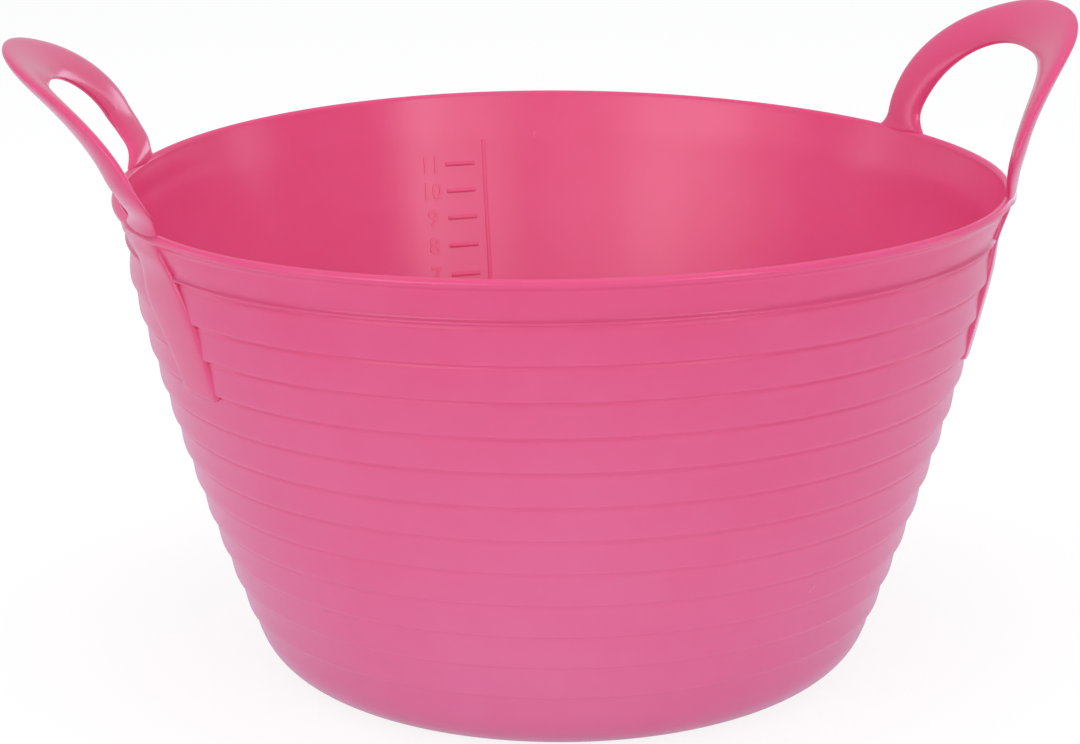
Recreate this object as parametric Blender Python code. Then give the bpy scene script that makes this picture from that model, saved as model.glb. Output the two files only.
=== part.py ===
"""Flexible tub: a moulded bowl with stepped rings, a round lip and two loop handles.

Metres, +Z up. The origin is the middle of the base on the ground, and the handles
lie along X. The real tub is one moulding, and each object here is one zone of it.
"""

import math

import bmesh
import bpy

# Bowl, seen from the side
RIM_RADIUS = 0.179
HEIGHT = 0.198
LIP_OVERHANG = 0.0016
LIP_THICKNESS = 0.0038
LIP_HEIGHT = 0.0056
WALL_FOOT_RADIUS = 0.1198
WALL_BOW = 0.0055
WALL_THICKNESS = 0.0027
HEEL_RADIUS = 0.029

# Plain band under the lip, and the stepped rings below it
RIM_BAND_HEIGHT = 0.0138
TOP_BAND_HEIGHT = 0.0164
BEAD_HEIGHT = 0.0032
BEAD_PROUD = 0.0008
FIRST_RING_HEIGHT = 0.0156
RING_PITCH = 0.0139
RING_PROUD = 0.0005
RING_GROOVE = 0.0006

# Base
HEEL_SEAM = 0.0066
FOOT_RING_WIDTH = 0.0080
FOOT_RECESS = 0.0012
GATE_RADIUS = 0.0045
GATE_PROUD = 0.0007

# Loop handles, sizes along the sheet that each is bent from
HAND_HOLE_HALF_WIDTH = 0.0665
HAND_HOLE_REACH = 0.0469
LEG_WIDTH = 0.0170
GRIP_WIDTH = 0.0229
HANDLE_THICKNESS = 0.0054
HANDLE_EDGE = 0.0034
ROOT_FILLET = 0.0038
ROOT_FILLET_HEIGHT = 0.0070
FLARE_START = math.radians(3.6)
FLARE_END = math.radians(46.5)
FLARE_STRAIGHT = 0.0090
FLARE_BEND_RADIUS = 0.0637
GRIP_CURVE = 0.65
OUTWARD_FLEX = math.radians(6.0)
FLEX_MARGIN = math.radians(1.0)

# Squareness of the handle's two outlines: 2 is an ellipse
OUTLINE_ACROSS = 2.45
OUTLINE_UP = 2.1
HOLE_ACROSS = 2.5
HOLE_UP = 1.55

# Straps that carry the handle legs down the outside of the wall
STRAP_WIDTH = 0.0250
STRAP_TAPER = 0.0050
STRAP_INSET = 0.0065
STRAP_LENGTH = 0.0625
STRAP_PROUD_TOP = 0.0060
STRAP_PROUD_FOOT = 0.0021
GUSSET_WIDTH = 0.0040
GUSSET_HEIGHT = 0.0125
STRAP_CORNER = 0.0038

# Litre scale raised on the inner wall, at the back
SCALE_AZIMUTH = math.radians(93.0)
SCALE_FIRST_LITRE = 3
SCALE_BELOW_BEAD = 0.0050
SCALE_BAR_WIDTH = 0.0015
SCALE_TICK_LENGTH = 0.0150
SCALE_TICK_HEIGHT = 0.0013
SCALE_PROUD = 0.0008
SCALE_GAP = 0.0006
SCALE_END = 0.0050

GAP = 0.0003
TURN_STEPS = 72
HEEL_STEPS = 5
LIP_STEPS = 6
INNER_STEPS = 7
HANDLE_STATIONS = 40
FILL_STEPS = 400
CUBIC_METRES_PER_LITRE = 0.001
BEAD_REACH = 0.55

PINK = (0.72, 0.085, 0.20, 1.0)
WALL_TOP_RADIUS = RIM_RADIUS - LIP_OVERHANG
ROOT_RADIUS = WALL_TOP_RADIUS + STRAP_PROUD_TOP - HANDLE_THICKNESS / 2
BEAD_LEVEL = HEIGHT - TOP_BAND_HEIGHT
SEAM_HEIGHT = HEIGHT - RIM_BAND_HEIGHT


def wall_radius(z):
    """Outside of the bowl at height z, without its rings: a cone that bows outwards."""
    t = z / HEIGHT
    straight = WALL_FOOT_RADIUS + (WALL_TOP_RADIUS - WALL_FOOT_RADIUS) * t
    return straight + 4 * WALL_BOW * t * (1 - t)


def wall_slope(z):
    """Angle of the bowl's outside from vertical at height z."""
    step = 0.001
    return math.atan((wall_radius(z + step) - wall_radius(z - step)) / (2 * step))


HEEL_SLOPE = wall_slope(HEEL_RADIUS * (1 - math.sin(wall_slope(HEEL_RADIUS))))
HEEL_TOP = HEEL_RADIUS * (1 - math.sin(HEEL_SLOPE))
HEEL_CENTRE = wall_radius(HEEL_TOP) - HEEL_RADIUS * math.cos(HEEL_SLOPE)
BASE_EDGE = HEEL_CENTRE - HEEL_SEAM


def inner_radius(z):
    """Inside of the bowl at height z, down to the rounded heel."""
    if z < HEEL_TOP:
        heel = HEEL_RADIUS - WALL_THICKNESS
        return HEEL_CENTRE + math.sqrt(max(heel**2 - (HEEL_RADIUS - z) ** 2, 0))
    return wall_radius(z) - WALL_THICKNESS / math.cos(wall_slope(z))


def clear_scene():
    for obj in list(bpy.data.objects):
        bpy.data.objects.remove(obj, do_unlink=True)


def moulded_plastic(name, colour, roughness):
    material = bpy.data.materials.new(name)
    material.use_nodes = True
    shader = material.node_tree.nodes["Principled BSDF"]
    shader.inputs["Base Color"].default_value = colour
    shader.inputs["Roughness"].default_value = roughness
    shader.inputs["Metallic"].default_value = 0.0
    return material


def finished(name, bm, roughness=0.35, origin=(0.0, 0.0, 0.0)):
    """Closes a bmesh into a named object with its own material, its origin at origin."""
    bmesh.ops.recalc_face_normals(bm, faces=bm.faces)
    bmesh.ops.translate(bm, verts=bm.verts, vec=[-v for v in origin])
    mesh = bpy.data.meshes.new(name)
    bm.to_mesh(mesh)
    bm.free()
    mesh.shade_smooth()
    mesh.set_sharp_from_angle(angle=math.radians(40))
    mesh.materials.append(moulded_plastic(name, PINK, roughness))
    obj = bpy.data.objects.new(name, mesh)
    obj.location = origin
    bpy.context.collection.objects.link(obj)
    return obj


def turned(name, profile, closed=True):
    """Spins a profile of (radius, height) points once round the Z axis."""
    bm = bmesh.new()
    verts = [bm.verts.new((radius, 0, height)) for radius, height in profile]
    ends = zip(verts, verts[1:] + verts[:1]) if closed else zip(verts, verts[1:])
    edges = [bm.edges.new(pair) for pair in ends]
    bmesh.ops.spin(
        bm,
        geom=verts + edges,
        cent=(0, 0, 0),
        axis=(0, 0, 1),
        angle=2 * math.pi,
        steps=TURN_STEPS,
        use_merge=True,
    )
    bmesh.ops.remove_doubles(bm, verts=bm.verts, dist=1e-6)
    return finished(name, bm)


def ring_heights():
    """Heights of the bead and, below it, of the grooves between the rings."""
    top = BEAD_LEVEL - FIRST_RING_HEIGHT
    count = int((top - HEEL_TOP - RING_PITCH / 3) / RING_PITCH) + 1
    return [BEAD_LEVEL] + [top - RING_PITCH * k for k in range(count)]


def ring_profile():
    """Outer points of the bead and rings: each ring is a soft barrel between grooves."""
    heights = ring_heights()
    points = []
    for offset, proud in ((0.5, 0.0), (0.18, 1.0), (-0.18, 1.0), (-0.5, -0.3)):
        z = heights[0] + offset * BEAD_HEIGHT
        points.append((wall_radius(z) + proud * BEAD_PROUD, z))
    for top, bottom in zip(heights, heights[1:]):
        for share, proud in ((0.40, RING_PROUD), (0.78, RING_PROUD), (1.0, -RING_GROOVE)):
            z = top + (bottom - top) * share
            points.append((wall_radius(z) + proud, z))
    return points


def heel_arc(radius, start, end, steps):
    """Points of the rounded heel, from one angle below level to another."""
    points = []
    for k in range(steps + 1):
        angle = start + (end - start) * k / steps
        height = HEEL_RADIUS - radius * math.sin(angle)
        points.append((HEEL_CENTRE + radius * math.cos(angle), height))
    return points


def make_wall():
    """The stepped bowl wall, from the seam under the rim band to the flat of the heel."""
    top = SEAM_HEIGHT - GAP
    outer = [(wall_radius(top), top)] + ring_profile()
    outer += heel_arc(HEEL_RADIUS, HEEL_SLOPE, math.pi / 2, HEEL_STEPS)
    outer.append((BASE_EDGE + GAP, 0.0))
    inside = HEEL_RADIUS - WALL_THICKNESS
    inner = [(BASE_EDGE + GAP, WALL_THICKNESS)]
    inner += heel_arc(inside, math.pi / 2, HEEL_SLOPE, HEEL_STEPS - 1)
    low = inner[-1][1]
    for k in range(1, INNER_STEPS + 1):
        z = low + (top - low) * k / INNER_STEPS
        inner.append((inner_radius(z), z))
    return turned("tub_wall", outer + inner)


def make_rim():
    """The plain band and the half-round lip at the mouth."""
    lip_half = LIP_THICKNESS / 2
    middle = RIM_RADIUS - lip_half
    under_lip = HEIGHT - LIP_HEIGHT
    outer = [(wall_radius(SEAM_HEIGHT), SEAM_HEIGHT), (wall_radius(under_lip), under_lip)]
    outer.append((RIM_RADIUS, under_lip + LIP_OVERHANG))
    crest = []
    for k in range(LIP_STEPS + 1):
        angle = math.pi * k / LIP_STEPS
        height = HEIGHT - lip_half * (1 - math.sin(angle))
        crest.append((middle + lip_half * math.cos(angle), height))
    inner = [(inner_radius(under_lip), under_lip), (inner_radius(SEAM_HEIGHT), SEAM_HEIGHT)]
    return turned("rim_band", outer + crest + inner)


def make_base():
    """The floor disc, with a foot ring round a shallow recess and the moulding gate."""
    ring_inside = BASE_EDGE - FOOT_RING_WIDTH
    profile = [
        (0.0, FOOT_RECESS - GATE_PROUD),
        (GATE_RADIUS - GATE_PROUD, FOOT_RECESS - GATE_PROUD),
        (GATE_RADIUS, FOOT_RECESS),
        (ring_inside - FOOT_RECESS, FOOT_RECESS),
        (ring_inside, 0.0),
        (BASE_EDGE, 0.0),
        (BASE_EDGE, WALL_THICKNESS),
        (0.0, WALL_THICKNESS),
    ]
    return turned("base_floor", profile, closed=False)


def flare(s):
    """(radius, rise, lean) of the handle sheet's middle at a distance s above the rim."""
    low = min(s, FLARE_STRAIGHT)
    radius = ROOT_RADIUS + low * math.sin(FLARE_START)
    rise = low * math.cos(FLARE_START)
    bend = max(min((s - FLARE_STRAIGHT) / FLARE_BEND_RADIUS, FLARE_END - FLARE_START), 0)
    lean = FLARE_START + bend
    radius += FLARE_BEND_RADIUS * (math.cos(FLARE_START) - math.cos(lean))
    rise += FLARE_BEND_RADIUS * (math.sin(lean) - math.sin(FLARE_START))
    beyond = max(s - FLARE_STRAIGHT - FLARE_BEND_RADIUS * (FLARE_END - FLARE_START), 0)
    return radius + beyond * math.sin(lean), rise + beyond * math.cos(lean), lean


def sheet_point(across, s, out):
    """A point of the bent handle sheet: across it, up it, and outwards from its middle.

    In plan the sheet follows the rim at its root and straightens towards the grip.
    """
    radius, rise, lean = flare(s)
    reach = HAND_HOLE_REACH + GRIP_WIDTH
    curve = (1 - (1 - GRIP_CURVE) * min(s / reach, 1)) / ROOT_RADIUS
    angle = math.asin(across * curve)
    forward = radius - ROOT_RADIUS + out * math.cos(lean)
    level = ROOT_RADIUS - (1 - math.cos(angle)) / curve + forward * math.cos(angle)
    side = across + out * math.cos(lean) * math.sin(angle)
    return [level, side, HEIGHT + GAP + rise - out * math.sin(lean)]


def root_fillet(s):
    """How much wider the outer edge of a leg is, close to the rim."""
    return ROOT_FILLET * max(1 - s / ROOT_FILLET_HEIGHT, 0) ** 2


def outline(angle, half_width, reach, across_power, up_power):
    """A point of the handle's outer edge or of its hand hole, on the flat sheet."""
    across = half_width * abs(math.cos(angle)) ** (2 / across_power)
    s = reach * math.sin(angle) ** (2 / up_power)
    return [math.copysign(across, math.cos(angle)), s]


def handle_section(angle):
    """One closed section across the band, in sheet coordinates: thick in its middle."""
    half_width = HAND_HOLE_HALF_WIDTH + LEG_WIDTH
    reach = HAND_HOLE_REACH + GRIP_WIDTH
    outer = outline(angle, half_width, reach, OUTLINE_ACROSS, OUTLINE_UP)
    outer[0] += math.copysign(root_fillet(outer[1]), outer[0])
    inner = outline(angle, HAND_HOLE_HALF_WIDTH, HAND_HOLE_REACH, HOLE_ACROSS, HOLE_UP)
    edge = HANDLE_EDGE / 2
    width = math.dist(outer, inner)
    points = []
    for share, out in (
        (0.0, 0.0),
        (0.3 * edge / width, 0.7 * edge),
        (edge / width, edge),
        (0.5, HANDLE_THICKNESS / 2),
        (1 - edge / width, edge),
        (1 - 0.3 * edge / width, 0.7 * edge),
        (1.0, 0.0),
        (1 - 0.3 * edge / width, -0.7 * edge),
        (1 - edge / width, -edge),
        (0.5, -HANDLE_THICKNESS / 2),
        (edge / width, -edge),
        (0.3 * edge / width, -0.7 * edge),
    ):
        across = inner[0] + (outer[0] - inner[0]) * share
        s = inner[1] + (outer[1] - inner[1]) * share
        points.append((across, s, out))
    return points


def hinge_x():
    """Innermost edge of the leg ends, about which the whole loop flexes."""
    half = HAND_HOLE_HALF_WIDTH + LEG_WIDTH + ROOT_FILLET
    return math.sqrt(ROOT_RADIUS**2 - half**2) - HANDLE_THICKNESS / 2


def make_handles():
    """Two loop handles, lofted along the arch, each with its origin on its flex line."""
    bm = bmesh.new()
    flex = hinge_x()
    rings = []
    for k in range(HANDLE_STATIONS + 1):
        eased = (1 - math.cos(math.pi * k / HANDLE_STATIONS)) / 2
        ring = []
        for across, s, out in handle_section(math.pi * eased):
            point = sheet_point(across, s, out)
            near_root = max(1 - s / ROOT_FILLET_HEIGHT, 0)
            opening = math.tan(OUTWARD_FLEX + FLEX_MARGIN) * (point[0] - flex)
            point[2] += max(opening, 0) * near_root
            ring.append(bm.verts.new(point))
        rings.append(ring)
    for low, high in zip(rings, rings[1:]):
        for k, vert in enumerate(low):
            after = (k + 1) % len(low)
            bm.faces.new((vert, low[after], high[after], high[k]))
    bm.faces.new(rings[0])
    bm.faces.new(rings[-1])
    right = finished("handle_right", bm, origin=(flex, 0.0, HEIGHT))
    left = bpy.data.objects.new("handle_left", right.data)
    left.location = (-flex, 0.0, HEIGHT)
    left.rotation_euler = (0.0, 0.0, math.pi)
    bpy.context.collection.objects.link(left)


def bowl_face(z):
    """Furthest out that the bowl reaches near height z, rings, bead and lip included."""
    if z > HEIGHT - LIP_HEIGHT:
        return RIM_RADIUS
    if abs(z - BEAD_LEVEL) < BEAD_HEIGHT * BEAD_REACH:
        return wall_radius(z) + BEAD_PROUD
    return wall_radius(z) + RING_PROUD


def strap_heights():
    """Heights of the strap's rows, with one on each side of every step behind it."""
    foot = HEIGHT - STRAP_LENGTH
    hair = 0.0001
    lip = HEIGHT - LIP_HEIGHT
    bead_low = BEAD_LEVEL - BEAD_HEIGHT * BEAD_REACH
    bead_high = BEAD_LEVEL + BEAD_HEIGHT * BEAD_REACH
    rows = [HEIGHT, HEIGHT - GUSSET_HEIGHT / 3, lip + hair, lip - LIP_OVERHANG]
    rows += [bead_high + hair, bead_high - hair, bead_low + hair, bead_low - 2 * hair]
    rest = bead_low - foot - STRAP_CORNER
    rows += [bead_low - rest * share for share in (0.25, 0.5, 0.75, 1.0)]
    rows += [foot + STRAP_CORNER * 0.4, foot]
    return rows


def strap_edges(z):
    """The strap's two edges at height z: a flared top, straight sides and a rounded foot."""
    below_rim = HEIGHT - z
    top_edge = HAND_HOLE_HALF_WIDTH - STRAP_INSET
    outer = top_edge + STRAP_WIDTH
    inner = top_edge + STRAP_TAPER * below_rim / STRAP_LENGTH
    outer += GUSSET_WIDTH * max(1 - below_rim / GUSSET_HEIGHT, 0) ** 1.5
    above_foot = z - (HEIGHT - STRAP_LENGTH)
    short = max(1 - above_foot / STRAP_CORNER, 0)
    corner = STRAP_CORNER * (1 - math.sqrt(max(1 - short**2, 0)))
    return inner + corner, outer - corner


def make_strap(name, side, turn):
    """One strap. side is the way that it lies along Y before it is turned about Z."""
    bm = bmesh.new()
    rows = []
    for z in strap_heights():
        inner, outer = strap_edges(z)
        back = bowl_face(z) + GAP
        share = (HEIGHT - z) / STRAP_LENGTH
        proud = STRAP_PROUD_TOP + (STRAP_PROUD_FOOT - STRAP_PROUD_TOP) * share
        face = wall_radius(z) + proud
        soft = (face - back) * 0.4
        ring = []
        for across, radius in (
            (0.0, back),
            (0.33, back),
            (0.67, back),
            (1.0, back),
            (1.0, face - soft),
            (1 - soft / STRAP_WIDTH, face),
            (0.67, face),
            (0.33, face),
            (soft / STRAP_WIDTH, face),
            (0.0, face - soft),
        ):
            y = inner + (outer - inner) * across
            ring.append(bm.verts.new((math.sqrt(radius**2 - y**2), side * y, z)))
        rows.append(ring)
    for high, low in zip(rows, rows[1:]):
        for k, vert in enumerate(high):
            after = (k + 1) % len(high)
            bm.faces.new((vert, high[after], low[after], low[k]))
    bm.faces.new(rows[0])
    bm.faces.new(rows[-1])
    strap = finished(name, bm)
    strap.rotation_euler = (0.0, 0.0, turn)
    return strap


def litre_heights(top):
    """Height of the water inside at each whole litre of the scale, up to a height."""
    heights = []
    volume = 0.0
    step = (top - WALL_THICKNESS) / FILL_STEPS
    for k in range(FILL_STEPS):
        middle = WALL_THICKNESS + step * (k + 0.5)
        volume += math.pi * inner_radius(middle) ** 2 * step
        litre = SCALE_FIRST_LITRE + len(heights)
        if volume >= litre * CUBIC_METRES_PER_LITRE:
            heights.append(middle)
    return heights


def make_scale():
    """The litre scale: one upright line with a tick at each litre, cut as one comb."""
    high = BEAD_LEVEL - SCALE_BELOW_BEAD
    ticks = litre_heights(high - SCALE_END)
    low = ticks[0] - SCALE_END
    heights = [low]
    in_tick = []
    for z in ticks:
        heights += [z - SCALE_TICK_HEIGHT / 2, z + SCALE_TICK_HEIGHT / 2]
        in_tick += [False, True]
    heights.append(high)
    in_tick.append(False)
    columns = [0.0, SCALE_BAR_WIDTH]
    columns += [SCALE_BAR_WIDTH + SCALE_TICK_LENGTH * k / 3 for k in (1, 2, 3)]
    bm = bmesh.new()

    def corner(column, row):
        radius = inner_radius(heights[row]) - SCALE_GAP
        angle = SCALE_AZIMUTH + columns[column] / radius
        return (radius * math.cos(angle), radius * math.sin(angle), heights[row])

    verts = {}
    for row, tick in enumerate(in_tick):
        for column in range(len(columns) - 1 if tick else 1):
            cell = [(column, row), (column + 1, row), (column + 1, row + 1), (column, row + 1)]
            for key in cell:
                if key not in verts:
                    verts[key] = bm.verts.new(corner(*key))
            bm.faces.new([verts[key] for key in cell])
    extruded = bmesh.ops.extrude_face_region(bm, geom=bm.faces[:])
    for vert in extruded["geom"]:
        if isinstance(vert, bmesh.types.BMVert):
            radius = math.hypot(vert.co.x, vert.co.y)
            share = (radius - SCALE_PROUD) / radius
            vert.co.x *= share
            vert.co.y *= share
    return finished("litre_scale", bm)


def main():
    clear_scene()
    make_wall()
    make_rim()
    make_base()
    make_handles()
    make_strap("strap_back_right", 1, 0.0)
    make_strap("strap_front_right", -1, 0.0)
    make_strap("strap_front_left", 1, math.pi)
    make_strap("strap_back_left", -1, math.pi)
    make_scale()


main()
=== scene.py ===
"""Dresses the flexible tub: one seamless moulded bowl, two soft loop handles that run
down the wall as straps, the litre scale on the inner wall, and a pale studio.

Metres, +Z up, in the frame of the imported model. The handles lie along X.
"""

import math

import bmesh
import bpy
from bpy.props import FloatProperty, FloatVectorProperty, IntProperty, PointerProperty
from mathutils import Matrix, Vector


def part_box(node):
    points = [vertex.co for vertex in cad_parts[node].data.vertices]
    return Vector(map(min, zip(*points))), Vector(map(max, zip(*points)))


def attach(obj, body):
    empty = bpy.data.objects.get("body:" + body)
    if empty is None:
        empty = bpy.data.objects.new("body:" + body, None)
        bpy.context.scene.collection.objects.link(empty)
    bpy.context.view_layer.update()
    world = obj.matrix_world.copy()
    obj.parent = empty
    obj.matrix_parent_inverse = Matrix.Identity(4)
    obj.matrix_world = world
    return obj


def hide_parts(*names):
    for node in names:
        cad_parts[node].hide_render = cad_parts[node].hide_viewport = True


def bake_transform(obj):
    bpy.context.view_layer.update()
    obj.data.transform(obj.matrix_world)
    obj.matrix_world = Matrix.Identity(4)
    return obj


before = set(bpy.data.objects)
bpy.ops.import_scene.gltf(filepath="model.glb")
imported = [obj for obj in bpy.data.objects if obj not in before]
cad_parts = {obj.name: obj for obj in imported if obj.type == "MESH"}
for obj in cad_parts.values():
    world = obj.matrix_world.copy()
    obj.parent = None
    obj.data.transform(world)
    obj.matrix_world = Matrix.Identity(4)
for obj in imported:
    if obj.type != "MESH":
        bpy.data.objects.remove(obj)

bl_info = {
    "name": "Flexible Tub",
    "version": (1, 0, 0),
    "blender": (4, 5, 0),
    "location": "View3D > Sidebar > Tub",
    "description": "Builds a flexible moulded tub with loop handles and its studio",
    "category": "Add Mesh",
}

MM = 0.001
RIM_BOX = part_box("rim_band")
RIM_RADIUS = RIM_BOX[1].x
RIM_HEIGHT = RIM_BOX[1].z

# Section of the bead under the band: (millimetres above its edge, share of the bead)
BEAD = ((1.5, -0.65), (0.9, 0.1), (0.4, 0.75), (0.0, 1.0), (-0.2, 0.95))

# Section of one ring from the edge above it down to its own: (share of the pitch, step)
STEP = (
    (0.012, 0.7), (0.028, -0.6), (0.042, -1.6), (0.062, -2.0), (0.09, -1.85), (0.125, -1.3),
    (0.17, -0.95), (0.25, -0.85), (0.36, -0.72), (0.5, -0.45), (0.65, 0.05), (0.8, 0.6),
    (0.9, 0.88), (0.96, 1.0), (1.0, 0.95),
)

# Underside of the lip: (share of the lip's height, share of its overhang)
LIP_FLARE = ((0.16, 0.08), (0.3, 0.3), (0.42, 0.62), (0.52, 0.88), (0.6, 0.98))

# The soft rim: how the bowl gives way at the handles
PINCH_SPREAD = 9 * MM
PINCH_ENDS = 8
PINCH_INSIDE = 0.4
PINCH_LEFT_RIM = 0.75
PINCH_LEFT_RISE = 12 * MM

# Share of the loop band's length that each strap takes, and the steps of its mesh
STRAP_SHARE = 0.2
BAND_ALONG = 240
BAND_ROUND = 32

# The hole side of a strap runs no nearer to the handle's middle than this
STRAP_HOLE = 47.5 * MM
STRAP_CORNER = 2.5 * MM
STRAP_HIDDEN = 1.3 * MM

# A loop droops about a line at this share of the rim's radius
DROOP_PIVOT = 0.88

# How far the marks of the litre scale reach into the wall
MARK_ROOT = 0.6 * MM
FIGURE_ROOT = 0.4 * MM
CAPITAL = 0.7

WHITE = (1.0, 1.0, 1.0)
COOL = (0.80, 0.88, 1.0)
LIT, SHOWN, BOTH = (True, False), (False, True), (True, True)

# Lamps: name, degrees from the camera, distance, height, size, radiance, tint, and
# whether it lights the object, shows in its gloss, or both
LAMPS = (
    ("softbox_right", 30, 2.2, 0.85, (1.25, 0.8), 1.85, WHITE, BOTH),
    ("softbox_left", -38, 2.3, 0.9, (1.5, 0.9), 1.6, WHITE, BOTH),
    ("overhead", 10, 0.3, 2.1, (1.4, 1.0), 3.75, WHITE, LIT),
    ("window", 43, 2.2, 0.95, (0.4, 1.0), 2.3, (0.80, 0.93, 1.0), SHOWN),
    ("wide_window", -34, 2.4, 1.0, (3.9, 0.9), 1.2, (0.88, 0.95, 1.0), SHOWN),
    ("strip_left", -100, 1.8, 0.3, (0.4, 0.7), 1.4, COOL, BOTH),
    ("strip_right", 100, 1.8, 0.3, (0.4, 0.7), 1.4, COOL, BOTH),
    ("strip_back", 153, 1.7, 0.25, (0.6, 0.45), 1.9, (0.62, 0.84, 1.0), SHOWN),
)


def length(name, description, default_mm, **more):
    """A size in metres, given here in millimetres."""
    return FloatProperty(
        name=name,
        description=description,
        default=default_mm * MM,
        unit="LENGTH",
        precision=4,
        **more,
    )


def angle(name, description, degrees):
    return FloatProperty(
        name=name, description=description, default=math.radians(degrees), subtype="ANGLE"
    )


def number(name, description, default):
    return FloatProperty(name=name, description=description, default=default)


def leg(name, edges_mm):
    """Where a leg's hole side and outside lie at the rim, then at the strap's foot."""
    return FloatVectorProperty(
        name=name,
        description="Distances from the handle's middle: at the rim, then at the foot",
        default=[edge * MM for edge in edges_mm],
        size=4,
        unit="LENGTH",
        precision=4,
    )


def colour(name, description, default):
    return FloatVectorProperty(
        name=name, description=description, default=default, size=3, subtype="COLOR",
        min=0.0, max=1.0,
    )


class TubBowlSizes(bpy.types.PropertyGroup):
    """Sizes of the bowl, its lip and its rings."""

    rim_radius: length("Rim radius", "Outside of the lip", RIM_RADIUS / MM)
    height: length("Height", "From the ground to the top of the lip", RIM_HEIGHT / MM)
    overhang: length("Lip overhang", "How far the lip stands out past the wall", 1.6)
    lip_thickness: length("Lip thickness", "Across the rounded lip", 3.8)
    lip_height: length("Lip height", "Depth of the flared edge", 5.6)
    foot_radius: length("Foot radius", "Cone of the wall carried down to the ground", 119.2)
    bow: length("Wall bow", "How far the wall bows out half way up", 5.2)
    thickness: length("Wall thickness", "Thickness of the moulding", 2.7)
    heel_radius: length("Heel radius", "Round between the wall and the base", 24.0)
    band_height: length("Band height", "Plain band from the lip down to the bead", 16.4)
    band_flare: length("Band flare", "How far the band draws in down to the bead", 0.6)
    bead_proud: length("Bead", "How far the bead under the band stands out", 0.8)
    first_ring: length("First ring", "From the bead to the first groove", 15.6)
    ring_pitch: length("Ring pitch", "From one groove to the next", 13.9)
    ring_proud: length("Ring step", "How far each ring's lower edge stands out", 0.6)
    recess: length("Base recess", "Hollow inside the foot ring", 1.2)
    warp: length("Rim warp", "How far the soft rim dips at the handles", 1.8)
    warp_turn: angle("Rim warp turn", "Where round the rim it dips", 7.4)
    pinch: length("Pinch", "How far the handles draw the wall in below the rim", 2.2)
    pinch_height: length("Pinch height", "Where that is deepest", 181.0)
    steps: IntProperty(name="Steps", description="Steps round the bowl", default=288)


class TubLoopSizes(bpy.types.PropertyGroup):
    """Sizes of the loop handles, along the sheet that each is bent from."""

    hole_half: length("Hole half width", "Half the hand hole at its widest", 68.6)
    hole_reach: length("Hole reach", "Rim to the inside of the grip", 46.9)
    outer_half: length("Loop half width", "Half of the loop at its widest", 85.8)
    outer_reach: length("Loop reach", "Rim to the outside of the grip", 69.8)
    outer_across: number("Loop squareness across", "2 is an ellipse", 2.32)
    outer_up: number("Loop squareness up", "2 is an ellipse", 2.15)
    hole_across: number("Hole squareness across", "2 is an ellipse", 2.6)
    hole_up: number("Hole squareness up", "2 is an ellipse", 1.53)
    thickness: length("Thickness", "In the middle of the band", 5.5)
    root_thickness: length("Root thickness", "Of the legs at the rim", 4.2)
    edge: number("Edge", "Thickness near the edges as a share of the middle", 0.62)
    straight: length("Straight root", "Straight stretch above the rim", 9.0)
    bend_radius: length("Bend radius", "Bend of the sheet out of the wall's line", 63.7)
    flare_start: angle("Flare at the root", "Lean from upright", 5.9)
    flare_end: angle("Flare at the grip", "Lean from upright", 48.5)
    grip_curve: number("Grip curve", "Plan curve of the grip, with 1 that of the rim", 0.61)
    right_lean: angle("Right lean", "Inward droop of the right loop", 4.65)
    left_lean: angle("Left lean", "Inward droop of the left loop", 0.0)
    right_out: length("Right root", "Shift of the right loop outwards", 1.45)
    left_out: length("Left root", "Shift of the left loop outwards", 7.75)
    right_skew: number("Right skew", "Sideways shift for each unit of height", 0.055)
    left_skew: number("Left skew", "Sideways shift for each unit of height", -0.097)


class TubStrapSizes(bpy.types.PropertyGroup):
    """Sizes of the straps that the loop legs run down the wall as."""

    right_back: leg("Right back leg", (66.0, 84.0, 61.5, 85.0))
    right_front: leg("Right front leg", (46.0, 67.0, 54.0, 76.0))
    left_front: leg("Left front leg", (46.0, 71.0, 60.4, 83.5))
    left_back: leg("Left back leg", (51.0, 72.0, 60.4, 83.5))
    root_reach: length("Root reach", "How far up a leg its root pulls its edges in", 9.0)
    reach: length("Length", "From the rim down to the foot", 63.0)
    proud_top: length("Proud at the rim", "Face of the strap outside the wall", 2.3)
    proud_foot: length("Proud at the foot", "Face of the strap outside the wall", 1.25)
    web_reach: length("Web reach", "How far the lip flares beside a strap", 11.0)
    web_height: length("Web height", "How far down that flare runs", 11.0)
    web_proud: length("Web", "How far that flare stands out", 1.0)


class TubScaleSizes(bpy.types.PropertyGroup):
    """Places and sizes of the litre scale on the inner wall."""

    bar_azimuth: angle("Bar azimuth", "Upright line of the scale", 93.0)
    bar_width: length("Bar width", "Width of the upright line", 1.6)
    tick_gap: length("Tick gap", "From the upright line to the ticks", 3.8)
    tick_length: length("Tick length", "Length of a litre tick", 13.5)
    tick_height: length("Tick height", "Height of a litre tick", 1.8)
    number_gap: length("Number gap", "From the ticks to the middle of the numbers", 7.0)
    number_height: length("Number height", "Height of the figures", 7.0)
    proud: length("Proud", "How far the marks stand off the wall", 0.38)
    first: IntProperty(name="First litre", description="Lowest mark", default=3)
    last: IntProperty(name="Last litre", description="Highest mark", default=11)


class TubFinish(bpy.types.PropertyGroup):
    """Colour and gloss of the moulded plastic."""

    pink: colour("Pink", "Body colour of the plastic", (0.88, 0.078, 0.243))
    # The pale pink serves the random pale patches and also the painted sheen that pales the bowl
    # towards the base.
    pale: colour("Pale pink", "Rubbed places, and towards the base", (0.87, 0.20, 0.42))
    deep: colour("Deep pink", "Where the melt flowed thick", (0.86, 0.064, 0.215))
    roughness: number("Roughness", "Satin sheen of the plastic", 0.25)


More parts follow.
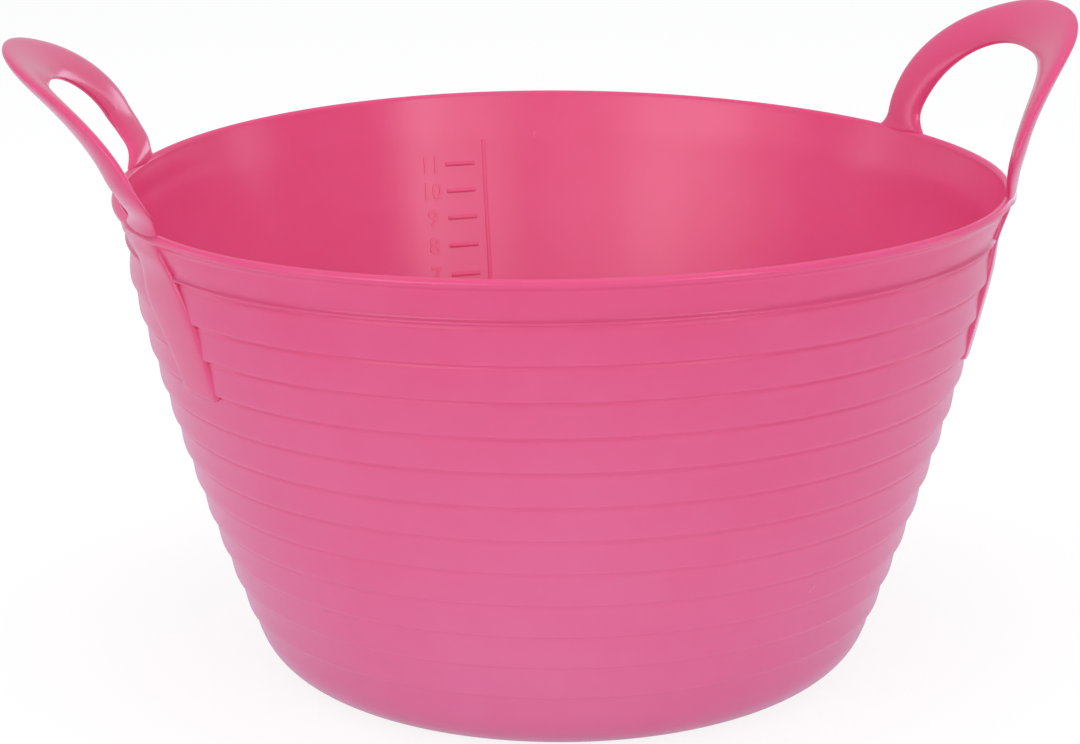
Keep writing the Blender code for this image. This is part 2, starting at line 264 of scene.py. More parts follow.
class TubStageSettings(bpy.types.PropertyGroup):
    """The studio: floor, lamps and camera."""

    floor_size: length("Floor size", "Half the side of the floor", 9000.0)
    floor_colour: colour("Floor colour", "Paper of the floor", (0.93, 0.93, 0.94))
    lens: FloatProperty(
        name="Lens", description="Focal length in millimetres", default=94.635
    )
    distance: length("Camera distance", "From the tub's axis", 1109.8)
    camera_height: length("Camera height", "Above the ground", 434.6)
    azimuth: angle("Camera azimuth", "Turned round the tub", 8.657)
    pitch: angle("Camera pitch", "Looking down", 16.014)
    yaw: angle("Camera yaw", "Off the tub's axis", -0.447)
    roll: angle("Camera roll", "Tilt of the picture", -0.4526)


def settings(name):
    return getattr(bpy.context.scene, name)


# Shape of the bowl


def wall_radius(z):
    """Outside of the plain wall at height z: a cone that bows outwards."""
    bowl = settings("tub_bowl")
    t = z / bowl.height
    top = bowl.rim_radius - bowl.overhang
    return bowl.foot_radius + (top - bowl.foot_radius) * t + 4 * bowl.bow * t * (1 - t)


def wall_slope(z):
    step = MM
    return math.atan((wall_radius(z + step) - wall_radius(z - step)) / (2 * step))


def heel():
    """(slope, height, centre radius) where the round of the heel meets the wall."""
    radius = settings("tub_bowl").heel_radius
    slope = wall_slope(radius * (1 - math.sin(wall_slope(radius))))
    top = radius * (1 - math.sin(slope))
    return slope, top, wall_radius(top) - radius * math.cos(slope)


def inner_radius(z):
    """Inside of the plain wall at height z."""
    bowl = settings("tub_bowl")
    _, top, centre = heel()
    if z < top:
        inside = bowl.heel_radius - bowl.thickness
        rise = bowl.heel_radius - z
        return centre + math.sqrt(max(inside**2 - rise**2, 0))
    return wall_radius(z) - bowl.thickness / math.cos(wall_slope(z))


def warped(point):
    """The place of a point of the bowl once the soft rim has sagged at the handles, and
    the handles have drawn the wall in below it."""
    bowl = settings("tub_bowl")
    share = min(max(point.z / bowl.height, 0), 1.2) ** 1.5
    turn = 2 * math.atan2(point.y, point.x) - 2 * bowl.warp_turn
    z = point.z - bowl.warp * share * math.cos(turn)
    radius = max(math.hypot(point.x, point.y), MM)
    ends = (abs(point.x) / radius) ** PINCH_ENDS
    above = point.z - bowl.pinch_height
    under = math.exp(-((above / PINCH_SPREAD) ** 2))
    if radius < wall_radius(point.z) - 1.5 * MM:
        under *= PINCH_INSIDE
    top = PINCH_LEFT_RIM * smooth(above / PINCH_LEFT_RISE) if point.x < 0 else 0
    pinch = 1 - bowl.pinch * ends * max(under, top) / radius
    return Vector((point.x * pinch, point.y * pinch, z))


def ring_outline():
    """Outer points of the band, the bead and the rings, from the lip downwards. Each ring
    widens towards its lower edge and steps in again below it, less so low down."""
    bowl = settings("tub_bowl")
    bead = bowl.height - bowl.band_height
    points = []
    under_lip = bowl.height - bowl.lip_height
    for share in (0.0, 0.15, 0.3, 0.5, 0.7, 0.85, 1.0):
        z = under_lip + (bead + 2.4 * MM - under_lip) * share
        points.append((wall_radius(z) - bowl.band_flare * smooth(share), z))
    for offset, proud in BEAD:
        z = bead + offset * MM
        points.append((wall_radius(z) + proud * bowl.bead_proud, z))
    _, low, _ = heel()
    foot = BEAD[-1][0] * MM
    edge = bead + foot
    pitch = bowl.first_ring + foot
    while edge > low:
        for share, proud in STEP:
            z = edge - share * pitch
            if proud < -1:
                proud = -1 + (proud + 1) * smooth(z / (0.8 * bowl.height))
            points.append((wall_radius(z) + proud * bowl.ring_proud, z))
        edge -= pitch
        pitch = bowl.ring_pitch
    return points


def smooth(t):
    t = min(max(t, 0), 1)
    return t * t * (3 - 2 * t)


def arc(centre, radius, start, end, steps):
    """Points (radius, height) of an arc about a centre, angles from level upwards."""
    points = []
    for k in range(steps + 1):
        turn = start + (end - start) * k / steps
        points.append((centre[0] + radius * math.cos(turn), centre[1] + radius * math.sin(turn)))
    return points


def bowl_outline():
    """The whole section of the bowl, from the middle underneath round to the middle inside."""
    bowl = settings("tub_bowl")
    slope, top, centre = heel()
    heel_centre = (centre, bowl.heel_radius)
    round_under = arc(heel_centre, bowl.heel_radius, -math.pi / 2, -slope, 14)
    mark_radius = 4.6 * MM
    mark_level = bowl.recess - 0.6 * MM
    ring = centre - 14 * MM
    outline = [
        (0.0, mark_level),
        (mark_radius - 1.0 * MM, mark_level),
        (mark_radius, bowl.recess),
        (ring - 2 * MM, bowl.recess),
        (ring - 0.8 * MM, bowl.recess * 0.8),
        (ring, 0.1 * MM),
        (ring + 0.8 * MM, 0.0),
    ]
    outline += round_under
    outline += [point for point in reversed(ring_outline()) if point[1] > top + 1.5 * MM]
    half = bowl.lip_thickness / 2
    crest = (bowl.rim_radius - half, bowl.height - half)
    under_lip = bowl.height - bowl.lip_height
    for share, out in LIP_FLARE:
        z = under_lip + bowl.lip_height * share
        outline.append((wall_radius(z) + (bowl.rim_radius - wall_radius(z)) * out, z))
    outline += arc(crest, half, 0.0, math.pi, 12)
    high = bowl.height - 17 * MM
    inside = bowl.rim_radius - bowl.lip_thickness
    for share in (0.1, 0.2, 0.3, 0.4, 0.5, 0.6, 0.7, 0.8, 0.9):
        z = crest[1] + (high - crest[1]) * share
        outline.append((inside + (inner_radius(high) - inside) * share, z))
    low = top + 0.5 * MM
    for k in range(31):
        z = high + (low - high) * k / 30
        outline.append((inner_radius(z), z))
    inside = bowl.heel_radius - bowl.thickness
    outline += arc(heel_centre, inside, -slope, -math.pi / 2, 14)[1:]
    outline += [(centre * share, bowl.thickness) for share in (0.75, 0.5, 0.25, 0.1, 0.0)]
    return outline


# Shape of the loops and straps


def loop_sheet(s):
    """(outwards, rise, lean) of the loop's sheet at s above the rim."""
    loop = settings("tub_loop")
    low = min(s, loop.straight)
    out = low * math.sin(loop.flare_start)
    rise = low * math.cos(loop.flare_start)
    full = loop.flare_end - loop.flare_start
    bend = max(min((s - loop.straight) / loop.bend_radius, full), 0)
    lean = loop.flare_start + bend
    out += loop.bend_radius * (math.cos(loop.flare_start) - math.cos(lean))
    rise += loop.bend_radius * (math.sin(lean) - math.sin(loop.flare_start))
    beyond = max(s - loop.straight - loop.bend_radius * full, 0)
    return out + beyond * math.sin(lean), rise + beyond * math.cos(lean), lean


def arch(turn, half, reach, across_power, up_power):
    """A point (across, s) of the loop's outer edge or of its hole."""
    across = half * abs(math.cos(turn)) ** (2 / across_power)
    return math.copysign(across, math.cos(turn)), reach * math.sin(turn) ** (2 / up_power)


def pulled_in(place, root, side, fillet, reach):
    """An edge point of the loop, pulled near the rim to where its leg's root lies and
    rounded into the rim by a fillet of the given reach."""
    strap = settings("tub_strap")
    across, s = place[0], place[1]
    near = math.exp(-((s / strap.root_reach) ** 1.3))
    fillet *= max(1 - s / reach, 0) ** 2
    return across + side * (root * near + fillet), s


def band_edges(along, legs):
    """The two edges (hole side, outside) of the band at a share along it, from strap foot
    to strap foot. legs holds the root and foot places of its two legs."""
    loop = settings("tub_loop")
    strap = settings("tub_strap")
    side = 1 if along < 0.5 else -1
    hole_root, outer_root, hole_foot, outer_foot = legs[0 if along < 0.5 else 1]
    if STRAP_SHARE < along < 1 - STRAP_SHARE:
        share = (along - STRAP_SHARE) / (1 - 2 * STRAP_SHARE)
        turn = math.pi * (0.55 * share + 0.45 * (1 - math.cos(math.pi * share)) / 2)
        outer = arch(turn, loop.outer_half, loop.outer_reach, loop.outer_across, loop.outer_up)
        inner = arch(turn, loop.hole_half, loop.hole_reach, loop.hole_across, loop.hole_up)
        inner = pulled_in(inner, hole_root - loop.hole_half, side, -4.0 * MM, 8 * MM)
        outer = pulled_in(outer, outer_root - loop.outer_half, side, 3.0 * MM, 6 * MM)
        return inner, outer
    down = (STRAP_SHARE - min(along, 1 - along)) / STRAP_SHARE
    s = -strap.reach * down
    outer = outer_root + (outer_foot - outer_root) * smooth(min(down * 1.5 + 0.12, 1))
    outer += (outer_root - outer) * math.exp(-down * 22) + 3.0 * MM * math.exp(-down * 16)
    inner = hole_root + (hole_foot - hole_root) * smooth((down - 0.3) / 0.6)
    if inner < STRAP_HOLE:
        inner += (STRAP_HOLE - inner) * smooth(-s / (9 * MM))
    inner -= 4.0 * MM * max(1 + s / (5 * MM), 0) ** 2
    short = max((down - 0.94) / 0.06, 0)
    corner = STRAP_CORNER * (1 - math.sqrt(max(1 - short * short, 0)))
    return (side * (inner + corner), s), (side * (outer - corner), s)


def band_thickness(s):
    """Thickness of the band's middle at s above the rim, with its hidden back below it."""
    loop = settings("tub_loop")
    root = loop.root_thickness
    if s >= 0:
        return root + (loop.thickness - root) * smooth(s / (20 * MM))
    return root + (strap_proud(s) + STRAP_HIDDEN - root) * smooth(-s / (4 * MM))


def strap_proud(s):
    """How far a strap's face stands outside the wall at s, which is below the rim."""
    strap = settings("tub_strap")
    upper = max(1 + 3 * s / strap.reach, 0)
    return strap.proud_foot + (strap.proud_top - strap.proud_foot) * upper**2


def band_point(across, s, out, side):
    """Row frame point of a loop's band. out runs from -1 at its inner face to 1 outside."""
    bowl = settings("tub_bowl")
    loop = settings("tub_loop")
    strap = settings("tub_strap")
    thick = band_thickness(s)
    out = out * thick / 2
    root = bowl.rim_radius - bowl.overhang + strap.proud_top - loop.root_thickness / 2
    if s >= 0:
        outwards, rise, lean = loop_sheet(s)
        curve = (1 + (loop.grip_curve - 1) * min(s / loop.outer_reach, 1)) / root
        turn = math.asin(max(min(across * curve, 0.95), -0.95))
        forward = outwards + out * math.cos(lean)
        x = root - (1 - math.cos(turn)) / curve + forward * math.cos(turn)
        y = across + out * math.cos(lean) * math.sin(turn)
        z = bowl.height + rise - out * math.sin(lean)
    else:
        z = bowl.height + s
        radius = wall_radius(z) + strap_proud(s) - thick / 2 + out
        y = across
        x = math.sqrt(radius**2 - y**2)
    lean = loop.right_lean if side > 0 else loop.left_lean
    shift = loop.right_out if side > 0 else loop.left_out
    skew = loop.right_skew if side > 0 else loop.left_skew
    rise = z - bowl.height
    pivot = DROOP_PIVOT * bowl.rim_radius
    drooped = Vector((
        pivot + (x - pivot) * math.cos(lean) - rise * math.sin(lean)
        + shift * smooth((rise + 2 * MM) / (22 * MM)),
        y + skew * max(rise, 0),
        bowl.height + rise * math.cos(lean) + (x - pivot) * math.sin(lean),
    ))
    point = Vector((x, y, z)).lerp(drooped, smooth((rise + 3 * MM) / (14 * MM)))
    rim = Vector((point.x * side, point.y * side, min(point.z, bowl.height)))
    moved = warped(rim) - rim
    return Vector((rim.x, rim.y, point.z)) + moved


# Materials


def nodes_of(material):
    material.use_nodes = True
    tree = material.node_tree
    tree.nodes.clear()
    return tree


def add(tree, kind, **inputs):
    node = tree.nodes.new(kind)
    for name, value in inputs.items():
        node.inputs[name.replace("_", " ")].default_value = value
    return node


def maths(tree, operation, first, second=None, clamp=False):
    node = tree.nodes.new("ShaderNodeMath")
    node.operation = operation
    node.use_clamp = clamp
    for socket, value in zip(node.inputs, (first, second)):
        if value is None:
            continue
        if isinstance(value, (int, float)):
            socket.default_value = value
        else:
            tree.links.new(value, socket)
    return node.outputs[0]


def moulded_group():
    """Colour, roughness and fine relief of satin polyethylene, shared by every piece, with a
    painted sheen that pales the colour towards the base.
    """
    name = "moulded_polyethylene"
    if name in bpy.data.node_groups:
        return bpy.data.node_groups[name]
    tree = bpy.data.node_groups.new(name, "ShaderNodeTree")
    face = tree.interface
    for label, kind, value in (
        ("Pink", "NodeSocketColor", (0.8, 0.1, 0.24, 1)),
        ("Pale", "NodeSocketColor", (0.86, 0.17, 0.32, 1)),
        ("Deep", "NodeSocketColor", (0.72, 0.07, 0.18, 1)),
        ("Roughness", "NodeSocketFloat", 0.34),
        ("Mottle", "NodeSocketFloat", 0.5),
        ("Fade", "NodeSocketFloat", 0.0),
    ):
        socket = face.new_socket(label, in_out="INPUT", socket_type=kind)
        socket.default_value = value
    face.new_socket("Colour", in_out="OUTPUT", socket_type="NodeSocketColor")
    face.new_socket("Roughness", in_out="OUTPUT", socket_type="NodeSocketFloat")
    face.new_socket("Relief", in_out="OUTPUT", socket_type="NodeSocketFloat")
    given = tree.nodes.new("NodeGroupInput")
    result = tree.nodes.new("NodeGroupOutput")
    place = tree.nodes.new("ShaderNodeTexCoord")

    def noise(scale, detail):
        node = add(tree, "ShaderNodeTexNoise", Scale=scale, Detail=detail)
        tree.links.new(place.outputs["Object"], node.inputs["Vector"])
        return node.outputs["Fac"]

    flow = noise(9.0, 2.0)
    patch = noise(38.0, 3.0)
    grain = noise(900.0, 2.0)
    patches = maths(tree, "SUBTRACT", patch, 0.5)
    mottle = maths(tree, "MULTIPLY", patches, given.outputs["Mottle"])
    # Painted sheen: towards the base the colour is mixed to the paler, bluer pink, standing in
    # for the white floor's reflection in the lower wall.
    height = tree.nodes.new("ShaderNodeSeparateXYZ")
    tree.links.new(place.outputs["Object"], height.inputs[0])
    low = maths(tree, "MULTIPLY", height.outputs["Z"], -1 / RIM_HEIGHT)
    low = maths(tree, "MULTIPLY", maths(tree, "ADD", low, 1.0), given.outputs["Fade"])
    pale = maths(tree, "ADD", maths(tree, "MULTIPLY", mottle, 0.6), low)
    pale = maths(tree, "ADD", pale, 0.08, clamp=True)
    light = tree.nodes.new("ShaderNodeMix")
    light.data_type = "RGBA"
    tree.links.new(pale, light.inputs["Factor"])
    tree.links.new(given.outputs["Pink"], light.inputs["A"])
    tree.links.new(given.outputs["Pale"], light.inputs["B"])
    dark = maths(tree, "MULTIPLY", maths(tree, "SUBTRACT", flow, 0.45), 0.9, clamp=True)
    shade = tree.nodes.new("ShaderNodeMix")
    shade.data_type = "RGBA"
    tree.links.new(dark, shade.inputs["Factor"])
    tree.links.new(light.outputs["Result"], shade.inputs["A"])
    tree.links.new(given.outputs["Deep"], shade.inputs["B"])
    tree.links.new(shade.outputs["Result"], result.inputs["Colour"])
    rough = maths(tree, "MULTIPLY", patches, 0.10)
    rough = maths(tree, "ADD", rough, given.outputs["Roughness"])
    tree.links.new(rough, result.inputs["Roughness"])
    waves = maths(tree, "MULTIPLY", flow, 0.8)
    pores = maths(tree, "MULTIPLY", grain, 0.05)
    tree.links.new(maths(tree, "ADD", waves, pores), result.inputs["Relief"])
    return tree


def plastic(name, roughness=None, mottle=0.5, relief=0.12, painted_sheen=0.0):
    """One zone's moulded plastic, with that zone's own gloss, mottle and painted sheen towards
    the base.
    """
    finish = settings("tub_finish")
    material = bpy.data.materials.new(name)
    tree = nodes_of(material)
    group = tree.nodes.new("ShaderNodeGroup")
    group.node_tree = moulded_group()
    group.inputs["Pink"].default_value = (*finish.pink, 1)
    group.inputs["Pale"].default_value = (*finish.pale, 1)
    group.inputs["Deep"].default_value = (*finish.deep, 1)
    if roughness is None:
        roughness = finish.roughness
    group.inputs["Roughness"].default_value = roughness
    group.inputs["Mottle"].default_value = mottle
    group.inputs["Fade"].default_value = painted_sheen
    shader = tree.nodes.new("ShaderNodeBsdfPrincipled")
    tree.links.new(group.outputs["Colour"], shader.inputs["Base Color"])
    tree.links.new(group.outputs["Roughness"], shader.inputs["Roughness"])
    bump = add(tree, "ShaderNodeBump", Strength=relief, Distance=0.002)
    tree.links.new(group.outputs["Relief"], bump.inputs["Height"])
    tree.links.new(bump.outputs["Normal"], shader.inputs["Normal"])
    shader.inputs["IOR"].default_value = 1.51
    output = tree.nodes.new("ShaderNodeOutputMaterial")
    tree.links.new(shader.outputs["BSDF"], output.inputs["Surface"])
    return material


# Building


def mesh_object(name, bm, material, sharp=40):
    """Turns a bmesh into a shown object that sits at the origin."""
    bmesh.ops.remove_doubles(bm, verts=bm.verts, dist=1e-6)
    bmesh.ops.recalc_face_normals(bm, faces=bm.faces)
    mesh = bpy.data.meshes.new(name)
    bm.to_mesh(mesh)
    bm.free()
    mesh.shade_smooth()
    if sharp:
        mesh.set_sharp_from_angle(angle=math.radians(sharp))
    mesh.materials.append(material)
    piece = bpy.data.objects.new(name, mesh)
    bpy.context.scene.collection.objects.link(piece)
    return piece


def web_flare(point):
    """How much further out the lip reaches beside a strap, where it runs into the strap."""
    bowl = settings("tub_bowl")
    strap = settings("tub_strap")
    up = 1 - (bowl.height - point.z) / strap.web_height
    if up <= 0 or math.hypot(point.x, point.y) < bowl.rim_radius - bowl.overhang - 1.5 * MM:
        return 0.0
    if point.x > 0:
        root = strap.right_back if point.y > 0 else strap.right_front
    else:
        root = strap.left_back if point.y > 0 else strap.left_front
    hole, outside = root[0], root[1]
    across = abs(point.y)
    if across < hole:
        return 0.0
    near = max(1 - max(across - outside, 0) / strap.web_reach, 0) ** 2
    return strap.web_proud * near * smooth(up * 1.6) * smooth((1 - up) * 4)


class TUB_OT_bowl(bpy.types.Operator):
    """Add the moulded bowl: rings, band, lip, rounded heel and base in one skin"""

    bl_idname = "tub.bowl"
    bl_label = "Bowl"

    def execute(self, context):
        bm = bmesh.new()
        verts = [bm.verts.new((radius, 0, z)) for radius, z in bowl_outline()]
        edges = [bm.edges.new(pair) for pair in zip(verts, verts[1:])]
        bmesh.ops.spin(
            bm,
            geom=verts + edges,
            cent=(0, 0, 0),
            axis=(0, 0, 1),
            angle=2 * math.pi,
            steps=settings("tub_bowl").steps,
            use_merge=True,
        )
        for vert in bm.verts:
            flare = web_flare(vert.co)
            if flare:
                radius = math.hypot(vert.co.x, vert.co.y)
                grown = (radius + flare) / radius
                vert.co.x *= grown
                vert.co.y *= grown
            vert.co = warped(vert.co)
        # The bowl gets a strong painted sheen: its colour pales towards the base in place of the
        # floor's reflection.
        bowl = mesh_object("bowl", bm, plastic("bowl_plastic", painted_sheen=0.85), sharp=70)
        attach(bowl, "tub")
        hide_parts("tub_wall", "rim_band", "base_floor")
        return {"FINISHED"}


def band_section(share, strap_share):
    """(share across, out) of the band's section at a share round it: a soft lens up in
    the loop, and a flat bar with small rounds where strap_share is 1."""
    loop = settings("tub_loop")
    turn = 2 * math.pi * share
    c, s = math.cos(turn), math.sin(turn)
    lens_across, lens_out, bar = 0.55, 0.8, 0.28
    across = math.copysign(abs(c) ** (lens_across + (bar - lens_across) * strap_share), c)
    out = math.copysign(abs(s) ** (lens_out + (bar - lens_out) * strap_share), s)
    crown = loop.edge + (1 - loop.edge) * (1 - across * across)
    crown += (1 - crown) * strap_share
    return (1 - across) / 2, out * crown


def loop_band(name, side):
    """One loop handle with the two straps that its legs run down the wall as."""
    strap = settings("tub_strap")
    legs = (strap.left_front, strap.left_back)
    if side > 0:
        legs = (strap.right_back, strap.right_front)
    bm = bmesh.new()
    made = bmesh.ops.create_grid(
        bm, x_segments=BAND_ALONG, y_segments=BAND_ROUND, size=0.5
    )
    for vert in made["verts"]:
        along = vert.co.x + 0.5
        share = vert.co.y + 0.5
        inner, outer = band_edges(along, legs)
        across, out = band_section(share, smooth(-outer[1] / (6 * MM)))
        y = inner[0] + (outer[0] - inner[0]) * across
        s = inner[1] + (outer[1] - inner[1]) * across
        vert.co = band_point(y, s, out, side)
    bmesh.ops.remove_doubles(bm, verts=bm.verts, dist=1e-7)
    ends = [edge for edge in bm.edges if edge.is_boundary]
    bmesh.ops.holes_fill(bm, edges=ends, sides=0)
    material = plastic(name + "_plastic", roughness=0.17, mottle=0.4)
    return mesh_object(name, bm, material, sharp=0)


class TUB_OT_loops(bpy.types.Operator):
    """Add the two loop handles with their straps, soft across the flex line"""

    bl_idname = "tub.loops"
    bl_label = "Loop Handles"

    def execute(self, context):
        height = settings("tub_bowl").height
        for name, side, nodes in (
            ("loop_right", 1, ("handle_right", "strap_front_right", "strap_back_right")),
            ("loop_left", -1, ("handle_left", "strap_front_left", "strap_back_left")),
        ):
            band = loop_band(name, side)
            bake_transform(band)
            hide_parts(*nodes)
        return {"FINISHED"}


def litre_heights():
    """Height of the water inside at each whole litre."""
    scale = settings("tub_scale")
    bowl = settings("tub_bowl")
    heights = {}
    volume = 0.0
    steps = 400
    step = (bowl.height - bowl.thickness) / steps
    wanted = scale.first
    for k in range(steps):
        middle = bowl.thickness + step * (k + 0.5)
        volume += math.pi * inner_radius(middle) ** 2 * step
        while volume >= wanted * MM and wanted <= scale.last:
            heights[wanted] = middle
            wanted += 1
    return heights


def on_inner_wall(flat):
    """Places a point of a flat mark, given as (along the wall, height, proud), on the wall."""
    scale = settings("tub_scale")
    z = flat.y
    radius = inner_radius(z) - flat.z
    turn = scale.bar_azimuth + flat.x / inner_radius(z)
    return warped(Vector((radius * math.cos(turn), radius * math.sin(turn), z)))


def raised_box(bm, left, right, low, high):
    """A small bevelled block on the inner wall."""
    scale = settings("tub_scale")
    size = Vector((right - left, high - low, scale.proud + MARK_ROOT))
    centre = Vector(((left + right) / 2, (low + high) / 2, (scale.proud - MARK_ROOT) / 2))
    made = bmesh.ops.create_cube(
        bm, size=1, matrix=Matrix.Translation(centre) @ Matrix.Diagonal((*size, 1))
    )
    edges = list({edge for vert in made["verts"] for edge in vert.link_edges})
    upper = [edge for edge in edges if all(v.co.z > centre.z for v in edge.verts)]
    bmesh.ops.bevel(
        bm, geom=upper, offset=0.3 * MM, affect="EDGES", segments=2, profile=0.5, material=-1
    )


class TUB_OT_scale(bpy.types.Operator):
    """Add the raised litre scale on the inner wall: upright line, ticks and figures"""

    bl_idname = "tub.scale"
    bl_label = "Litre Scale"

    def execute(self, context):
        scale = settings("tub_scale")
        heights = litre_heights()
        material = plastic("scale_plastic", mottle=0.3)
        low = heights[scale.first] - 6 * MM
        high = heights[scale.last] + 10 * MM
        bar = bmesh.new()
        raised_box(bar, 0.0, scale.bar_width, low, high)
        bmesh.ops.subdivide_edges(
            bar, edges=[e for e in bar.edges if e.calc_length() > 20 * MM], cuts=30
        )
        ticks = bmesh.new()
        left = scale.bar_width + scale.tick_gap
        for z in heights.values():
            half = scale.tick_height / 2
            raised_box(ticks, left, left + scale.tick_length, z - half, z + half)
        bmesh.ops.subdivide_edges(
            ticks, edges=[e for e in ticks.edges if e.calc_length() > 8 * MM], cuts=6
        )
        for name, bm in (("scale_bar", bar), ("scale_ticks", ticks)):
            for vert in bm.verts:
                vert.co = on_inner_wall(vert.co)
            piece = mesh_object(name, bm, material)
            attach(piece, "tub")
            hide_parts("litre_scale")
        figures = bmesh.new()
        middle = left + scale.tick_length + scale.number_gap
        for litre, z in heights.items():
            self.figure(figures, str(litre), middle, z)
        for vert in figures.verts:
            vert.co = on_inner_wall(vert.co)
        piece = mesh_object("scale_figures", figures, material)
        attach(piece, "tub")
        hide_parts("litre_scale")
        return {"FINISHED"}

    def figure(self, bm, text, middle, z):
        """Adds a plain raised number, read from inside the tub, centred on a place."""
        scale = settings("tub_scale")
        curve = bpy.data.curves.new("figure", "FONT")
        curve.body = text
        curve.size = scale.number_height / CAPITAL
        curve.align_x = "CENTER"
        curve.align_y = "CENTER"
        curve.extrude = (scale.proud + FIGURE_ROOT) / 2
        curve.offset = 0.25 * MM
        curve.resolution_u = 3
        holder = bpy.data.objects.new("figure", curve)
        bpy.context.scene.collection.objects.link(holder)
        bpy.context.view_layer.update()
        mesh = bpy.data.meshes.new_from_object(holder)
        mesh.transform(
            Matrix.Translation((middle, z, (scale.proud - FIGURE_ROOT) / 2))
            @ Matrix.Diagonal((-1, 1, 1, 1))
        )
        bm.from_mesh(mesh)
        bpy.data.objects.remove(holder)
        bpy.data.curves.remove(curve)
        bpy.data.meshes.remove(mesh)


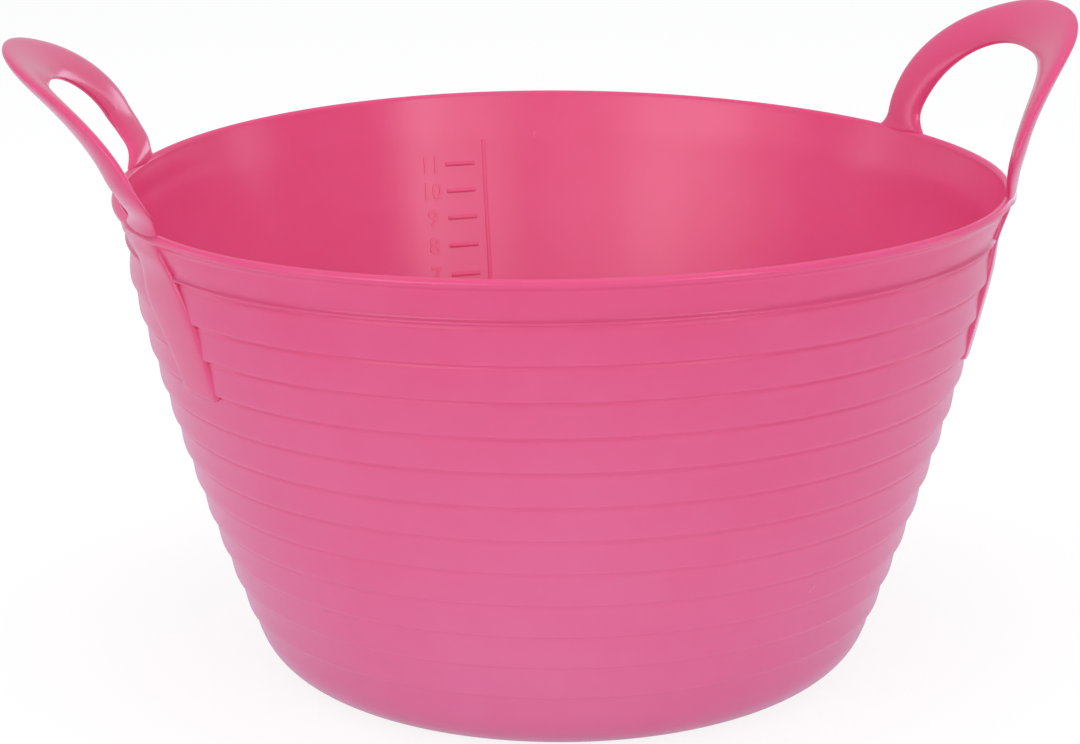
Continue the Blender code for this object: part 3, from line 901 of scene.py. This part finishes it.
class TUB_OT_stage(bpy.types.Operator):
    """Add the pale floor, the soft lamps and the camera"""

    bl_idname = "tub.stage"
    bl_label = "Studio"

    def execute(self, context):
        stage = settings("tub_stage")
        bm = bmesh.new()
        bmesh.ops.create_grid(bm, x_segments=1, y_segments=1, size=stage.floor_size)
        floor = mesh_object("floor", bm, self.floor_material(), sharp=0)
        self.world()
        for name, turn, away, height, size, radiance, tint, (lights, shines) in LAMPS:
            lamp = bpy.data.lights.new(name, "AREA")
            lamp.shape = "RECTANGLE"
            lamp.size, lamp.size_y = size
            lamp.energy = radiance * math.pi * size[0] * size[1]
            lamp.color = tint
            holder = bpy.data.objects.new(name, lamp)
            side = math.radians(turn) - stage.azimuth - math.pi / 2
            place = Vector((away * math.cos(side), away * math.sin(side), height))
            holder.location = place
            holder.visible_glossy = shines
            holder.visible_diffuse = lights
            aim = Vector((0, 0, 120 * MM)) - place
            holder.rotation_euler = aim.to_track_quat("-Z", "Y").to_euler()
            context.scene.collection.objects.link(holder)
        self.camera(context)
        context.scene.view_settings.view_transform = "Standard"
        return {"FINISHED"}

    def floor_material(self):
        """Paper that takes the shadow, is white to the camera and cool in the gloss."""
        stage = settings("tub_stage")
        material = bpy.data.materials.new("floor_paper")
        tree = nodes_of(material)
        paper = add(tree, "ShaderNodeBsdfDiffuse", Color=(*stage.floor_colour, 1))
        white = add(tree, "ShaderNodeEmission", Color=(1, 1, 1, 1), Strength=1.08)
        mirrored = add(tree, "ShaderNodeEmission", Color=(*COOL, 1), Strength=0.95)
        seen = tree.nodes.new("ShaderNodeLightPath")
        direct = self.direct_ray(tree, seen)
        shader = paper
        for ray, shine in ((direct, white), (seen.outputs["Is Glossy Ray"], mirrored)):
            mix = tree.nodes.new("ShaderNodeMixShader")
            tree.links.new(maths(tree, "MULTIPLY", ray, 0.8), mix.inputs["Fac"])
            tree.links.new(shader.outputs[0], mix.inputs[1])
            tree.links.new(shine.outputs[0], mix.inputs[2])
            shader = mix
        output = tree.nodes.new("ShaderNodeOutputMaterial")
        tree.links.new(shader.outputs[0], output.inputs["Surface"])
        return material

    def direct_ray(self, tree, seen):
        """1 for rays from the camera, straight or through something clear."""
        straight, through = seen.outputs["Is Camera Ray"], seen.outputs["Is Transmission Ray"]
        return maths(tree, "MAXIMUM", straight, through)

    def world(self):
        """Soft light, white to the camera, and in the gloss a sky that dims upwards."""
        world = bpy.data.worlds.new("studio")
        bpy.context.scene.world = world
        world.use_nodes = True
        tree = world.node_tree
        tree.nodes.clear()
        soft = add(tree, "ShaderNodeBackground", Color=(0.97, 0.98, 1.0, 1), Strength=0.5)
        white = add(tree, "ShaderNodeBackground", Color=(1, 1, 1, 1), Strength=1.0)
        mirrored = add(tree, "ShaderNodeBackground", Color=(0.9, 0.94, 1.0, 1))
        place = tree.nodes.new("ShaderNodeTexCoord")
        heading = tree.nodes.new("ShaderNodeSeparateXYZ")
        tree.links.new(place.outputs["Generated"], heading.inputs[0])
        dim = tree.nodes.new("ShaderNodeMapRange")
        dim.interpolation_type = "SMOOTHSTEP"
        low, high = (0.08, 0.6), (0.5, 0.4)
        for end, (heading_z, strength) in (("Min", low), ("Max", high)):
            dim.inputs["From " + end].default_value = heading_z
            dim.inputs["To " + end].default_value = strength
        tree.links.new(heading.outputs["Z"], dim.inputs["Value"])
        tree.links.new(dim.outputs["Result"], mirrored.inputs["Strength"])
        seen = tree.nodes.new("ShaderNodeLightPath")
        gloss = tree.nodes.new("ShaderNodeMixShader")
        tree.links.new(seen.outputs["Is Glossy Ray"], gloss.inputs["Fac"])
        tree.links.new(soft.outputs[0], gloss.inputs[1])
        tree.links.new(mirrored.outputs[0], gloss.inputs[2])
        mix = tree.nodes.new("ShaderNodeMixShader")
        tree.links.new(self.direct_ray(tree, seen), mix.inputs["Fac"])
        tree.links.new(gloss.outputs[0], mix.inputs[1])
        tree.links.new(white.outputs[0], mix.inputs[2])
        output = tree.nodes.new("ShaderNodeOutputWorld")
        tree.links.new(mix.outputs[0], output.inputs["Surface"])

    def camera(self, context):
        """The camera of the photograph: level turns first, then the roll."""
        stage = settings("tub_stage")
        data = bpy.data.cameras.new("camera")
        data.sensor_width = 36
        data.lens = stage.lens
        data.clip_start, data.clip_end = 0.05, 50
        camera = bpy.data.objects.new("camera", data)
        cp, sp = math.cos(stage.pitch), math.sin(stage.pitch)
        forward = Vector((math.sin(stage.yaw) * cp, math.cos(stage.yaw) * cp, -sp))
        right = Vector((math.cos(stage.yaw), -math.sin(stage.yaw), 0))
        up = right.cross(forward)
        cr, sr = math.cos(stage.roll), math.sin(stage.roll)
        right, up = cr * right + sr * up, cr * up - sr * right
        axes = Matrix((right, up, -forward)).transposed().to_4x4()
        place = Matrix.Translation((0, -stage.distance, stage.camera_height))
        turn = Matrix.Rotation(-stage.azimuth, 4, "Z")
        camera.matrix_world = turn @ place @ axes
        context.scene.collection.objects.link(camera)
        context.scene.camera = camera


class TUB_PT_panel(bpy.types.Panel):
    """Sizes and builders of the tub"""

    bl_idname = "TUB_PT_panel"
    bl_label = "Flexible Tub"
    bl_space_type = "VIEW_3D"
    bl_region_type = "UI"
    bl_category = "Tub"

    def draw(self, context):
        for name, _ in GROUPS:
            box = self.layout.box()
            group = getattr(context.scene, name)
            for prop in group.bl_rna.properties:
                if prop.identifier not in ("rna_type", "name"):
                    box.prop(group, prop.identifier)
        for operator in OPERATORS:
            self.layout.operator(operator.bl_idname)


GROUPS = (
    ("tub_bowl", TubBowlSizes),
    ("tub_loop", TubLoopSizes),
    ("tub_strap", TubStrapSizes),
    ("tub_scale", TubScaleSizes),
    ("tub_finish", TubFinish),
    ("tub_stage", TubStageSettings),
)
OPERATORS = (TUB_OT_bowl, TUB_OT_loops, TUB_OT_scale, TUB_OT_stage)


def register():
    for name, group in GROUPS:
        bpy.utils.register_class(group)
        setattr(bpy.types.Scene, name, PointerProperty(type=group))
    for operator in OPERATORS:
        bpy.utils.register_class(operator)
    bpy.utils.register_class(TUB_PT_panel)


def unregister():
    bpy.utils.unregister_class(TUB_PT_panel)
    for operator in reversed(OPERATORS):
        bpy.utils.unregister_class(operator)
    for name, group in reversed(GROUPS):
        delattr(bpy.types.Scene, name)
        bpy.utils.unregister_class(group)


def main():
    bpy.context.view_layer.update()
    register()
    bpy.ops.tub.bowl()
    bpy.ops.tub.loops()
    bpy.ops.tub.scale()
    bpy.ops.tub.stage()


if __name__ == "__main__":
    main()
